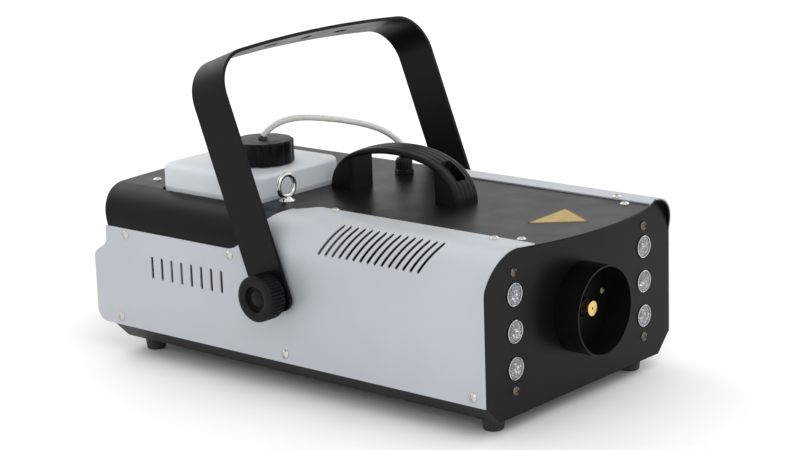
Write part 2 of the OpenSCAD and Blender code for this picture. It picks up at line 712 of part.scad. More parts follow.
module yoke() {
    color(paint) translate([0, pivot_y, pivot.y]) rotate([-yoke_lean, 0, 0]) difference() {
        intersection() {
            along_y(-yoke_w / 2, yoke_w / 2) difference() {
                yoke_section(arm_out, yoke_rise, yoke_corner_r);
                yoke_section(arm_in, yoke_rise - yoke_t, yoke_corner_r - yoke_t);
                translate([-arm_in, -30]) square([2 * arm_in, 60]);
            }
            along_x(-arm_out - 1, arm_out + 1) {
                translate([-yoke_w / 2, 0]) square([yoke_w, yoke_rise + 5]);
                translate([-yoke_w / 2, -17]) soft_rect([yoke_w, 60], 10);
            }
        }
        translate([-arm_out - 1, 0, 0]) rotate([0, 90, 0])
            cylinder(h = 2 * arm_out + 2, r = hole_r, $fn = 48);
        // hole for a hook clamp's bolt between two slots for a safety bond
        translate([0, 0, yoke_rise - 6]) cylinder(h = 10, r = 5.25, $fn = 48);
        for (s = [-1, 1]) translate([s * 45, 0, yoke_rise - 10]) linear_extrude(14) slot_2d(16, 6.5);
    }
}

module knob() {
    flutes = 36;
    r = knob_d / 2;
    color(plastic) difference() {
        turned_x() polygon([[0, 0], [12, 0], [12, 2], [r - 2, 2], [r, 4], [r, knob_t - 1.5], [r - 1.5, knob_t],
            [11, knob_t], [10, knob_t - 3], [9, knob_t - 3], [6, knob_t - 2], [0, knob_t - 1.5]]);
        for (i = [0:flutes - 1]) rotate([i * 360 / flutes, 0, 0]) translate([1.9, 0, r + 0.35])
            rotate([0, 90, 0]) cylinder(h = knob_t, r = 1.15, $fn = 16);
        translate([-1, 0, 0]) rotate([0, 90, 0]) cylinder(h = 14, r = hole_r, $fn = 48);
    }
}

module left_knob() { translate([-knob_in, pivot_y, pivot.y]) mirror([1, 0, 0]) knob(); }
module right_knob() { translate([knob_in, pivot_y, pivot.y]) knob(); }

module stud() {
    color(steel) translate([half_w - 16, pivot_y, pivot.y]) rotate([0, 90, 0])
        cylinder(h = knob_in + 11 - half_w + 16, r = stud_r, $fn = 48);
}

module left_stud() { mirror([1, 0, 0]) stud(); }
module right_stud() { stud(); }

module yoke_washers() {
    color("#202124") both_sides() translate([half_w, pivot_y, pivot.y]) rotate([0, 90, 0]) difference() {
        cylinder(h = washer_t, r = 17, $fn = 96);
        translate([0, 0, -1]) cylinder(h = 5, r = hole_r + fit, $fn = 48);
    }
}

// Upright plates inside the covers, each with the nut that holds its stud
module yoke_brackets() {
    in = half_w - sheet;
    color(steel) both_sides() translate([0, pivot_y, 0]) difference() {
        union() {
            translate([in - 2, -30, tray_rise + 0.5]) cube([2, 60, shell_low - tray_rise - 1]);
            translate([in - 12, 0, pivot.y]) rotate([0, 90, 0]) cylinder(h = 10, d = 15, $fn = 6);
            translate([in - 20, -30, tray_rise + 0.5]) cube([18, 60, 2]);
        }
        translate([in - 30, 0, pivot.y]) rotate([0, 90, 0]) cylinder(h = 40, r = hole_r, $fn = 48);
    }
}

// ---- lamps ----

module lens_column(x) {
    r = lens_d / 2;
    color("#e6edf2", 0.6) for (i = [0:2]) translate([x, front_y, lens_z + i * lens_pitch])
        turned_y(64) polygon([[0, 3.4], [2.6, 3.2], [3.6, 0.8], [r, 0.8], [r, 2.8], [r - 0.8, 3.2], [4.8, 11.5],
            [0, 11.5]]);
}

module left_lenses() { lens_column(-lens_x); }
module right_lenses() { lens_column(lens_x); }

module led_boards() {
    low = 27;
    color(circuit) for (s = [-1, 1]) translate([s * lens_x, front_y, 0]) {
        difference() {
            union() {
                translate([-11, 14, low]) cube([22, 1.6, 112]);
                for (h = panel_holes) translate([0, h.y < 60 ? 2 * sheet : sheet, h.y]) rotate([-90, 0, 0])
                    cylinder(h = 14 - (h.y < 60 ? 2 * sheet : sheet), r = 3.6, $fn = 32);
                for (i = [0:2]) translate([0, 11.5, lens_z + i * lens_pitch]) rotate([-90, 0, 0])
                    cylinder(h = 2.5, r = 3.5, $fn = 32);
            }
            for (h = panel_holes) translate([0, 0, h.y]) rotate([-90, 0, 0])
                cylinder(h = 20, r = screw_r + fit, $fn = 32);
        }
    }
}

// ---- electronics and rear panel ----

module control_board() {
    y1 = rear_y - 16;
    color(circuit) translate([16, y1, 0]) {
        translate([0, -1.6, 84]) cube([104, 1.6, 56]);
        for (x = button_x) translate([x - 19, 0, display_at.y - 3]) cube([6, 4, 6]);
        for (x = [4, 99]) translate([x, 0, 88]) rotate([-90, 0, 0])
            cylinder(h = 16 - sheet, r = 2.5, $fn = 32);
        translate([20, -21.6, 92]) cube([26, 20, 30]);
        for (x = [56, 72, 88]) translate([x, -1.6, 128]) rotate([90, 0, 0])
            cylinder(h = 18, r = 6, $fn = 32);
    }
}

module control_display() {
    color("#10202a", 0.9) translate([display_at.x, rear_y, display_at.y]) {
        translate([-24, 0, -11]) cube([48, 1.2, 22]);
        translate([-21.8, -15.9, -8.8]) cube([43.6, 15.9, 17.6]);
    }
}

module menu_button(i) {
    color("#2a2c2f") translate([button_x[i], rear_y, display_at.y]) turned_y(48) polygon([[0, -9.5],
        [2.2, -9.5], [2.2, -sheet - 0.6], [5, -sheet - 0.6], [5, -sheet - 0.1], [3.6, -sheet - 0.1],
        [3.6, 2.4], [2.9, 3], [0, 3]]);
}

module power_inlet() {
    color("#1b1c1e") translate([inlet_at.x, rear_y, inlet_at.y]) difference() {
        union() {
            translate([-20, 0, -13]) cube([40, 2.5, 26]);
            translate([-13.8, -26, -9.8]) cube([27.6, 26, 19.6]);
        }
        along_y(-18, 4) polygon([[-12, -8], [12, -8], [12, 4], [8, 8], [-8, 8], [-12, 4]]);
        for (s = [-1, 1]) translate([s * 17, -1, 0]) rotate([-90, 0, 0]) cylinder(h = 5, r = 1.7, $fn = 24);
    }
    color(steel) translate([inlet_at.x, rear_y, inlet_at.y])
        for (p = [[-6, -5], [0, -1.5], [6, -5]]) translate([p.x - 1, -18, p.y - 2]) cube([2, 14, 4]);
}

module power_switch() {
    color("#1b1c1e") translate([switch_at.x, rear_y, switch_at.y]) difference() {
        union() {
            translate([-9, 0, -14.5]) cube([18, 2, 29]);
            translate([-6.8, -22, -11.8]) cube([13.6, 22, 23.6]);
        }
        translate([-5.4, -12, -10.6]) cube([10.8, 20, 21.2]);
        translate([-6.2, 0, 0]) rotate([0, 90, 0]) cylinder(h = 12.4, r = 1.3, $fn = 32);
    }
}

// Rocker, its lower half pressed in; it turns about the pin through its middle
module switch_rocker() {
    color("#a31d1a") translate([switch_at.x, rear_y, switch_at.y]) rotate([-7, 0, 0]) {
        along_x(-5, 5) polygon([[-4, -6], [-2, -9.8], [3.6, -9.8], [2.1, 0], [3.6, 9.8], [-2, 9.8], [-4, 6]]);
        translate([-6, 0, 0]) rotate([0, 90, 0]) cylinder(h = 12, r = 1.25, $fn = 32);
    }
}

module fuse_holder() {
    color("#1b1c1e") translate([fuse_at.x, rear_y, fuse_at.y]) turned_y(64) polygon([[5, 2.5], [8, 2.5],
        [8.6, 1.8], [8.6, 0], [6.1, 0], [6.1, -28], [0, -28], [0, -26], [5, -26]]);
}

module fuse_cap() {
    color("#26282b") translate([fuse_at.x, rear_y, fuse_at.y]) difference() {
        turned_y(64) polygon([[0, -14], [4.9, -14], [4.9, 2.8], [6.6, 2.8], [6.6, 6.4], [5.9, 7], [0, 7]]);
        translate([-7, 5, -0.7]) cube([14, 4, 1.4]);
    }
}

module xlr_shell(at) {
    translate([at.x - 13, rear_y, at.y - 15.5]) {
        difference() {
            rotate([90, 0, 0]) mirror([0, 0, 1]) linear_extrude(2.2) soft_rect([26, 31], 3);
            for (p = [[3.5, 3.5], [22.5, 27.5]]) translate([p.x, -1, p.y]) rotate([-90, 0, 0])
                cylinder(h = 5, r = 1.6, $fn = 24);
            translate([13, -1, 15.5]) rotate([-90, 0, 0]) cylinder(h = 5, r = 11, $fn = 64);
        }
    }
}

module dmx_in_socket() {
    color("#8f9295") {
        xlr_shell(dmx_in_at);
        translate([dmx_in_at.x, rear_y, dmx_in_at.y]) turned_y() polygon([[0, -20], [12, -20], [12, 0],
            [11, 0], [11, 2.2], [9.5, 2.2], [9.5, -15], [0, -15]]);
        translate([dmx_in_at.x, rear_y - 15.5, dmx_in_at.y])
            for (p = [[-4, -1], [4, -1], [0, -5]]) translate([p.x, 0, p.y]) rotate([-90, 0, 0])
                cylinder(h = 13, r = 1.2, $fn = 24);
    }
}

module dmx_out_socket() {
    color("#8f9295") difference() {
        union() {
            xlr_shell(dmx_out_at);
            translate([dmx_out_at.x, rear_y, dmx_out_at.y]) turned_y() polygon([[0, -20], [12, -20], [12, 0],
                [11, 0], [11, 2.2], [9.6, 2.2], [9.6, 0.5], [7.4, 0.5], [7.4, 2.2], [0, 2.2]]);
        }
        for (p = [[-4, -1], [4, -1], [0, -5]])
            translate([dmx_out_at.x + p.x, rear_y - 12, dmx_out_at.y + p.y]) rotate([-90, 0, 0])
                cylinder(h = 16, r = 1.3, $fn = 24);
        translate([dmx_out_at.x - 3.3, rear_y - 6, dmx_out_at.y + 5.6]) cube([6.6, 12, 11.5]);
    }
}

// Push tab that frees the plug; its slot is open to the rear
module dmx_latch() {
    color("#c9cbce") translate([dmx_out_at.x - 3, rear_y - 3, dmx_out_at.y + 6.2]) cube([6, 7, 9]);
}

base_tray();
front_panel();
rear_panel();
top_shell();
left_cover();
right_cover();
feet();
cover_screws();
panel_screws();
outlet_tube();
nozzle_tip();
heater_block();
heater_insulation();
heater_shield();
heater_brackets();
thermostats();
pump_bracket();
pump_coil();
pump_cylinder();
pump_piston();
feed_hose();
delivery_pipe();
tank();
tank_cradle();
tank_cap();
dip_tube();
suction_filter();
suction_hose();
hose_gland();
gland_nut();
carry_handle();
handle_screws();
eye_bolt();
eye_bolt_nut();
yoke();
left_knob();
right_knob();
left_stud();
right_stud();
yoke_washers();
yoke_brackets();
left_lenses();
right_lenses();
led_boards();
control_board();
control_display();
menu_button(0);  // menu_button_1
menu_button(1);  // menu_button_2
menu_button(2);  // menu_button_3
menu_button(3);  // menu_button_4
power_inlet();
power_switch();
switch_rocker();
fuse_holder();
fuse_cap();
dmx_in_socket();
dmx_out_socket();
dmx_latch();
top_label();
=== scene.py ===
# Fog machine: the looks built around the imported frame. Metres; the fog leaves towards -Y.
import json
import math

import bmesh
import bpy
from mathutils import Matrix, Vector


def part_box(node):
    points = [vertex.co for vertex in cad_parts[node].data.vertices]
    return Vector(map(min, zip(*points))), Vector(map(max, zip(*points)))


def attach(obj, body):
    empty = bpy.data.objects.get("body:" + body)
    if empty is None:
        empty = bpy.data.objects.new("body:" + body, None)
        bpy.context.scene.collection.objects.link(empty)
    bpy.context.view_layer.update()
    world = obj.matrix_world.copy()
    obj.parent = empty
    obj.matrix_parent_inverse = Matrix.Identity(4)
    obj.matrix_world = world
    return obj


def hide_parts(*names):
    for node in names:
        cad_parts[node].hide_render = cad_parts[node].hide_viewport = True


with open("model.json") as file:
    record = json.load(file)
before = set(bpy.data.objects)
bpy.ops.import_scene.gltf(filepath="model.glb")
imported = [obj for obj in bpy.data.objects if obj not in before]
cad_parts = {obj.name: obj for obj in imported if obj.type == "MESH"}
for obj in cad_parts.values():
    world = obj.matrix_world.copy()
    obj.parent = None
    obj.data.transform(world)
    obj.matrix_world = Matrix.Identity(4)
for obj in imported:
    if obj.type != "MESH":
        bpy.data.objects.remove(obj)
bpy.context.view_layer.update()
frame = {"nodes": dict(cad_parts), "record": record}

MM = 0.001
BODY_OF = {n: body for body, nodes in frame["record"]["behaviour"]["bodies"].items() for n in nodes}
SLOT_OF = {part["node"]: part["material_slot"] for part in frame["record"]["subparts"]}


# ---- camera ----

def make_camera():
    """The photograph's view: from the front left corner, a little above the machine."""
    heading = math.radians(49.199)
    pitch = math.radians(13.836)
    roll = math.radians(-1.898)
    camera = bpy.data.objects.new("camera", bpy.data.cameras.new("camera"))
    camera.data.lens = 97.73
    camera.data.sensor_width = 36
    turn = Matrix.Rotation(-heading, 4, "Z") @ Matrix.Rotation(math.pi / 2 - pitch, 4, "X")
    camera.matrix_world = (Matrix.Translation((-1.3951, -1.2217, 0.5789)) @ turn
                           @ Matrix.Rotation(roll, 4, "Z"))
    bpy.context.scene.collection.objects.link(camera)
    bpy.context.scene.camera = camera


# ---- materials ----

class Recipe:
    """A node material in the making: its tree, its shader and the object's coordinates."""

    def __init__(self, name):
        self.material = bpy.data.materials.new(name)
        self.material.use_nodes = True
        self.tree = self.material.node_tree
        self.shader = self.tree.nodes["Principled BSDF"]
        self.place = self.tree.nodes.new("ShaderNodeTexCoord").outputs["Object"]
        self.last_normal = None

    def add(self, kind, **settings):
        node = self.tree.nodes.new(kind)
        for key, value in settings.items():
            setattr(node, key, value)
        return node

    def link(self, source, target):
        self.tree.links.new(source, target)

    def stretched(self, factors):
        mapping = self.add("ShaderNodeMapping")
        mapping.inputs["Scale"].default_value = factors
        self.link(self.place, mapping.inputs["Vector"])
        return mapping.outputs["Vector"]

    def noise(self, scale, detail=3.0, place=None):
        node = self.add("ShaderNodeTexNoise")
        node.inputs["Scale"].default_value = scale
        node.inputs["Detail"].default_value = detail
        self.link(place or self.place, node.inputs["Vector"])
        return node.outputs["Fac"]

    def cells(self, scale, feature="F1"):
        node = self.add("ShaderNodeTexVoronoi", feature=feature)
        node.inputs["Scale"].default_value = scale
        self.link(self.place, node.inputs["Vector"])
        return node.outputs["Distance"]

    def spread(self, value, low, high, start=0.3, stop=0.7):
        node = self.add("ShaderNodeMapRange")
        node.inputs["From Min"].default_value = start
        node.inputs["From Max"].default_value = stop
        node.inputs["To Min"].default_value = low
        node.inputs["To Max"].default_value = high
        self.link(value, node.inputs["Value"])
        return node.outputs["Result"]

    def blend(self, factor, first, second):
        node = self.add("ShaderNodeMix", data_type="RGBA")
        self.link(factor, node.inputs["Factor"])
        for socket, colour in zip((node.inputs["A"], node.inputs["B"]), (first, second)):
            if isinstance(colour, tuple):
                socket.default_value = (*colour, 1)
            else:
                self.link(colour, socket)
        return node.outputs["Result"]

    def bump(self, height, depth, strength=1.0):
        node = self.add("ShaderNodeBump")
        node.inputs["Distance"].default_value = depth
        node.inputs["Strength"].default_value = strength
        self.link(height, node.inputs["Height"])
        if self.last_normal:
            self.link(self.last_normal, node.inputs["Normal"])
        self.last_normal = node.outputs["Normal"]
        self.link(self.last_normal, self.shader.inputs["Normal"])

    def edges(self):
        """0 on flat faces, rising to 1 on outer edges."""
        return self.spread(self.add("ShaderNodeNewGeometry").outputs["Pointiness"], 0, 1, 0.53, 0.6)

    def colour(self, source):
        self.link(source, self.shader.inputs["Base Color"])

    def rough(self, source):
        self.link(source, self.shader.inputs["Roughness"])

    def sockets(self, **values):
        for key, value in values.items():
            self.shader.inputs[key.replace("_", " ").title().replace("Ior", "IOR")].default_value = value


def scaled(colour, factor):
    return tuple(min(1.0, c * factor) for c in colour)


def powder_coat(name, colour, low_rough, high_rough, peel, metallic=0.0, gloss=0.5):
    """Baked powder paint: orange peel, a fine grit and slow cloudiness."""
    m = Recipe(name)
    cloudy = m.blend(m.spread(m.noise(9, 4), 0, 1), scaled(colour, 0.93), scaled(colour, 1.06))
    m.colour(m.blend(m.spread(m.noise(2600, 1), 0, 0.5), cloudy, scaled(colour, 1.25)))
    m.rough(m.spread(m.noise(34, 5), low_rough, high_rough))
    m.bump(m.noise(520, 2), peel)
    m.bump(m.cells(2100), peel * 0.35)
    m.sockets(metallic=metallic, specular_ior_level=gloss)
    return m.material


def moulded_plastic(name, colour, low_rough, high_rough, texture=0.00004, edge_highlight=1.8, gloss=0.5):
    """Spark-eroded moulding texture, with the edges painted paler as a painted highlight."""
    m = Recipe(name)
    even = m.blend(m.spread(m.noise(26, 4), 0, 1), scaled(colour, 0.85), scaled(colour, 1.15))
    # Outer edges turn paler than the faces: a painted highlight.
    m.colour(m.blend(m.edges(), even, scaled(colour, edge_highlight)))
    m.rough(m.spread(m.noise(120, 4), low_rough, high_rough))
    m.bump(m.cells(1500, feature="SMOOTH_F1"), texture)
    m.bump(m.noise(60, 2), texture * 2)
    m.sockets(specular_ior_level=gloss)
    return m.material


def soft_rubber(name):
    m = Recipe(name)
    m.colour(m.blend(m.spread(m.noise(70, 5), 0, 1), (0.012, 0.012, 0.012), (0.03, 0.029, 0.028)))
    m.rough(m.spread(m.noise(200, 3), 0.62, 0.85))
    m.bump(m.noise(900, 3), 0.00008)
    return m.material


def bare_metal(name, colour, low_rough, high_rough, grain=(1, 1, 1), scratch=0.00002, tint=0.9):
    """Plated or machined metal: fine lines along its grain and slow changes of polish."""
    m = Recipe(name)
    fine = m.noise(800, 4, m.stretched(grain))
    m.colour(m.blend(m.spread(m.noise(45, 5), 0, 1), scaled(colour, tint), colour))
    m.rough(m.spread(fine, low_rough, high_rough))
    m.bump(fine, scratch)
    m.sockets(metallic=1.0)
    return m.material


def galvanised_sheet(name):
    """Zinc spangle: large crystals that differ in shade and polish."""
    m = Recipe(name)
    crystals = m.add("ShaderNodeTexVoronoi")
    crystals.inputs["Scale"].default_value = 130
    m.link(m.place, crystals.inputs["Vector"])
    shade = m.add("ShaderNodeSeparateColor")
    m.link(crystals.outputs["Color"], shade.inputs["Color"])
    m.colour(m.blend(shade.outputs["Red"], (0.40, 0.41, 0.42), (0.56, 0.57, 0.58)))
    m.rough(m.spread(shade.outputs["Green"], 0.3, 0.5, 0, 1))
    m.bump(m.noise(300, 3), 0.00003)
    m.sockets(metallic=1.0)
    return m.material


def cast_metal(name):
    m = Recipe(name)
    m.colour(m.blend(m.spread(m.noise(60, 6), 0, 1), (0.36, 0.36, 0.35), (0.52, 0.52, 0.51)))
    m.rough(m.spread(m.noise(300, 3), 0.45, 0.7))
    m.bump(m.noise(700, 5), 0.00025)
    m.sockets(metallic=1.0)
    return m.material


def glass_wool(name):
    """Woven glass fibre: two crossing sets of threads with loose fluff."""
    m = Recipe(name)
    warp = m.add("ShaderNodeTexWave", bands_direction="Y")
    weft = m.add("ShaderNodeTexWave", bands_direction="Z")
    for wave in (warp, weft):
        wave.inputs["Scale"].default_value = 160
        wave.inputs["Distortion"].default_value = 2
        m.link(m.place, wave.inputs["Vector"])
    m.colour(m.blend(m.noise(150, 6), (0.50, 0.44, 0.30), (0.78, 0.74, 0.62)))
    m.rough(m.spread(m.noise(400, 4), 0.8, 0.98))
    m.bump(warp.outputs["Fac"], 0.0004)
    m.bump(weft.outputs["Fac"], 0.0004)
    m.bump(m.noise(500, 8), 0.0003)
    return m.material


def tank_wall(name):
    """Blow-moulded polyethylene: milky, waxy and slightly uneven, with a faint painted glow."""
    m = Recipe(name)
    milky = m.blend(m.spread(m.noise(14, 4), 0, 1), (0.45, 0.485, 0.515), (0.52, 0.55, 0.575))
    m.colour(m.blend(m.spread(m.noise(1200, 2), 0, 0.3), milky, (0.58, 0.61, 0.63)))
    m.rough(m.spread(m.noise(50, 5), 0.34, 0.5))
    m.bump(m.noise(26, 2), 0.0006, 0.5)
    m.bump(m.noise(900, 3), 0.00004)
    m.sockets(subsurface_weight=0.55, subsurface_radius=(0.018, 0.02, 0.024), subsurface_scale=1.0)
    # Faint bluish-white emission: a painted glow, the tank gives off light though it is no lamp.
    m.sockets(emission_color=(0.8, 0.9, 1.0, 1.0), emission_strength=0.05)
    return m.material


def clear_tube(name):
    """Soft clear hose, yellowed and cloudy, with lines drawn in as it was extruded."""
    m = Recipe(name)
    m.colour(m.blend(m.spread(m.noise(24, 3), 0, 1), (0.60, 0.60, 0.555), (0.66, 0.66, 0.62)))
    m.rough(m.spread(m.noise(90, 3), 0.2, 0.32))
    m.bump(m.noise(120, 2), 0.00001)
    m.sockets(transmission_weight=0.1, subsurface_weight=0.2, subsurface_radius=(0.003, 0.003, 0.003))
    m.sockets(subsurface_scale=1.0)
    return m.material


def clear_lens(name):
    """Moulded acrylic with faint flow lines and a few specks of dust."""
    m = Recipe(name)
    m.colour(m.blend(m.spread(m.noise(500, 3), 0, 1, 0.55, 0.75), (0.95, 0.96, 0.97), (0.80, 0.82, 0.84)))
    m.rough(m.spread(m.noise(260, 4), 0.01, 0.07))
    m.bump(m.noise(90, 2), 0.00005)
    m.sockets(transmission_weight=0.92, ior=1.49)
    return m.material


def pressed_reflector(name):
    """Vacuum-plated plastic pressed into small dimples; the colour runs from plated metal in each dimple's
    middle to near-black painted shade at its edge.
    """
    m = Recipe(name)
    # Colour: plated metal at each dimple's middle, fading to near-black painted shade towards its edge.
    m.colour(m.blend(m.spread(m.cells(520), 0, 1, 0.25, 0.6), (0.70, 0.71, 0.73), (0.03, 0.03, 0.035)))
    m.rough(m.spread(m.noise(300, 3), 0.12, 0.3))
    m.bump(m.cells(420), 0.0009)
    m.sockets(metallic=1.0)
    return m.material


def printed_board(name):
    """Green solder mask over copper tracks, with pads where cells meet."""
    m = Recipe(name)
    tracks = m.spread(m.cells(420, feature="DISTANCE_TO_EDGE"), 1, 0, 0.02, 0.06)
    m.colour(m.blend(tracks, (0.010, 0.085, 0.030), (0.030, 0.17, 0.06)))
    m.rough(m.spread(m.noise(200, 3), 0.28, 0.45))
    m.bump(tracks, 0.00005)
    return m.material


def dark_window(name):
    """Tinted display window over rows of unlit dots."""
    m = Recipe(name)
    dots = m.spread(m.cells(1400), 1, 0, 0.1, 0.4)
    m.colour(m.blend(dots, (0.004, 0.006, 0.010), (0.010, 0.018, 0.026)))
    m.rough(m.spread(m.noise(140, 4), 0.05, 0.16))
    m.bump(m.noise(90, 2), 0.00001)
    m.sockets(coat_weight=0.6)
    return m.material


def printed_film(name, colour):
    """Self-adhesive polyester film: printed screen dots under a fine satin surface."""
    m = Recipe(name)
    faded = m.blend(m.spread(m.noise(55, 5), 0, 1), scaled(colour, 0.88), scaled(colour, 1.05))
    m.colour(m.blend(m.spread(m.cells(3200), 0.25, 0, 0.1, 0.5), faded, scaled(colour, 0.7)))
    m.rough(m.spread(m.noise(180, 4), 0.35, 0.55))
    m.bump(m.noise(800, 2), 0.00002)
    return m.material


def make_materials():
    along_y = (1, 0.03, 1)
    return {
        "black_paint": powder_coat("black_paint", (0.004, 0.004, 0.0045), 0.30, 0.38, 0.00003, gloss=0.12),
        "silver_paint": powder_coat("silver_paint", (0.42, 0.45, 0.48), 0.36, 0.46, 0.00004, 0.25),
        "rubber": soft_rubber("rubber"),
        "plated_screw": bare_metal("plated_screw", (0.60, 0.59, 0.55), 0.18, 0.36),
        "dark_screw": bare_metal("dark_screw", (0.15, 0.13, 0.11), 0.2, 0.36),
        "brass": bare_metal("brass", (0.86, 0.60, 0.22), 0.2, 0.38, along_y),
        "cast_aluminium": cast_metal("cast_aluminium"),
        "insulation": glass_wool("insulation"),
        "galvanised": galvanised_sheet("galvanised"),
        "black_plastic": moulded_plastic("black_plastic", (0.004, 0.004, 0.0045), 0.32, 0.44, edge_highlight=2.0,
                                         gloss=0.14),
        "plated_steel": bare_metal("plated_steel", (0.66, 0.66, 0.65), 0.2, 0.4),
        "clear_hose": clear_tube("clear_hose"),
        "copper": bare_metal("copper", (0.87, 0.45, 0.30), 0.25, 0.45, along_y, tint=0.75),
        "tank_plastic": tank_wall("tank_plastic"),
        "chrome": bare_metal("chrome", (0.66, 0.66, 0.66), 0.08, 0.18, scratch=0.000004, tint=0.9),
        "lens": clear_lens("lens"),
        "circuit_board": printed_board("circuit_board"),
        "display_window": dark_window("display_window"),
        "red_plastic": moulded_plastic("red_plastic", (0.42, 0.012, 0.010), 0.25, 0.36, edge_highlight=1.2),
        "label": printed_film("label", (0.40, 0.265, 0.055)),
        "reflector": pressed_reflector("reflector"),
    }


# ---- mesh helpers ----

AXES = {
    "x": (Vector((1, 0, 0)), Vector((0, 1, 0)), Vector((0, 0, 1))),
    "y": (Vector((0, 1, 0)), Vector((0, 0, 1)), Vector((1, 0, 0))),
    "z": (Vector((0, 0, 1)), Vector((1, 0, 0)), Vector((0, 1, 0))),
}


def loft(bm, rings):
    """Joins rings of as many points each, and closes both ends."""
    loops = [[bm.verts.new(point) for point in ring] for ring in rings]
    count = len(loops[0])
    for low, high in zip(loops, loops[1:]):
        for i in range(count):
            j = (i + 1) % count
            bm.faces.new((low[i], low[j], high[j], high[i]))
    bm.faces.new(loops[0][::-1])
    bm.faces.new(loops[-1])


def turned(bm, centre, axis, profile, steps=96, ripple=None):
    """A body turned about an axis; profile is [(radius, distance)], ripple scales the radius."""
    along, side, up = AXES[axis]
    rings = []
    for radius, distance in profile:
        ring = []
        for i in range(steps):
            angle = 2 * math.pi * i / steps
            r = radius * (ripple(angle, distance) if ripple else 1)
            ring.append(centre + along * distance + side * r * math.cos(angle) + up * r * math.sin(angle))
        rings.append(ring)
    loft(bm, rings)


def ring_band(bm, centre, axis, profile, steps=96):
    """A ring turned about an axis from a closed profile that stays off the axis."""
    along, side, up = AXES[axis]
    loops = []
    for i in range(steps):
        angle = 2 * math.pi * i / steps
        out = side * math.cos(angle) + up * math.sin(angle)
        loops.append([bm.verts.new(centre + along * d + out * r) for r, d in profile])
    for i in range(steps):
        here = loops[i]
        there = loops[(i + 1) % steps]
        for k in range(len(profile)):
            n = (k + 1) % len(profile)
            bm.faces.new((here[k], here[n], there[n], there[k]))


def arc(radius, start, stop, steps, centre=(0, 0)):
    """Points on an arc, angles in degrees."""
    points = []
    for i in range(steps + 1):
        angle = math.radians(start + (stop - start) * i / steps)
        points.append((centre[0] + radius * math.cos(angle), centre[1] + radius * math.sin(angle)))
    return points


def rounded_ring(low, high, radius, z, steps=8):
    """A rectangle with round corners at height z."""
    points = []
    corners = ((high.x - radius, high.y - radius, 0), (low.x + radius, high.y - radius, 90),
               (low.x + radius, low.y + radius, 180), (high.x - radius, low.y + radius, 270))
    for x, y, start in corners:
        points += [Vector((px, py, z)) for px, py in arc(radius, start, start + 90, steps, (x, y))]
    return points


def soften(bm, width):
    """A small round on every sharp edge."""
    least = math.radians(30)
    sharp = [e for e in bm.edges if len(e.link_faces) == 2 and e.calc_face_angle(0) > least]
    bmesh.ops.bevel(bm, geom=sharp, offset=width, segments=2, profile=0.6, affect="EDGES",
                    clamp_overlap=True)


def flat_areas(bm):
    """The area of the flat region each face belongs to."""
    same_plane = 0.9999995
    region = [-1] * len(bm.faces)
    areas = []
    for start in bm.faces:
        if region[start.index] >= 0:
            continue
        region[start.index] = len(areas)
        area = 0.0
        waiting = [start]
        while waiting:
            face = waiting.pop()
            area += face.calc_area()
            for other in (f for edge in face.edges for f in edge.link_faces):
                if region[other.index] < 0 and other.normal.dot(face.normal) > same_plane:
                    region[other.index] = len(areas)
                    waiting.append(other)
        areas.append(area)
    return [areas[number] for number in region]


def even_normals(bm, smooth):
    """Corner normals that lean on the larger flats, so that flats stay flat beside rounded edges."""
    bm.faces.index_update()
    bm.normal_update()
    areas = flat_areas(bm)
    limit = math.cos(math.radians(smooth))
    normals = []
    for face in bm.faces:
        for corner in face.loops:
            total = Vector()
            for near in corner.vert.link_loops:
                if near.face.normal.dot(face.normal) > limit:
                    total += near.face.normal * (areas[near.face.index] * near.calc_angle())
            normals.append(total.normalized() if total.length > 0 else face.normal.copy())
    return normals


def piece_from(bm, name, node, materials, slot=None, smooth=40, replaces=True, even=False, finish=None):
    """Turns mesh work into a piece that rides on the node's body and stands for it."""
    bmesh.ops.recalc_face_normals(bm, faces=bm.faces)
    normals = even_normals(bm, smooth) if even else None
    mesh = bpy.data.meshes.new(name)
    bm.to_mesh(mesh)
    bm.free()
    mesh.shade_smooth()
    if even:
        mesh.normals_split_custom_set(normals)
    else:
        mesh.set_sharp_from_angle(angle=math.radians(smooth))
    piece = bpy.data.objects.new(name, mesh)
    bpy.context.scene.collection.objects.link(piece)
    slot = slot or SLOT_OF[node]
    mesh.materials.append(materials[finish or slot])
    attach(piece, BODY_OF[node])
    if replaces:
        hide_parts(node)
    return piece


def node_mesh(node):
    """The CAD node's mesh with its seams closed and its flat faces whole."""
    bm = bmesh.new()
    bm.from_mesh(frame["nodes"][node].data)
    bmesh.ops.remove_doubles(bm, verts=bm.verts, dist=0.002 * MM)
    bmesh.ops.dissolve_limit(bm, angle_limit=math.radians(0.2), verts=bm.verts, edges=bm.edges)
    return bm


def crisp(node, materials, width):
    """The CAD shape with rounded edges that catch the light."""
    bm = node_mesh(node)
    soften(bm, width)
    return piece_from(bm, node + "_shape", node, materials, even=True)


# ---- hose ----

HOSE_ROUTE = [
    (-48.5, 97.5, 200.4), (-45.9, 95.9, 203.3), (-41.2, 93.1, 207.5), (-34.6, 89, 211.3),
    (-25.5, 83.4, 213.5), (-15.1, 77.1, 213.6), (-6, 71.5, 212.4), (4.4, 65.1, 210.4),
    (17.5, 57.1, 207.2), (30.6, 49.1, 203), (43.7, 41.1, 197), (50.3, 37.1, 192.4),
    (56.4, 33.3, 186.6), (60.8, 30.7, 180.6), (62.7, 29.5, 174.8), (62.7, 29.5, 171),
]
HOSE_D = 5.5 * MM


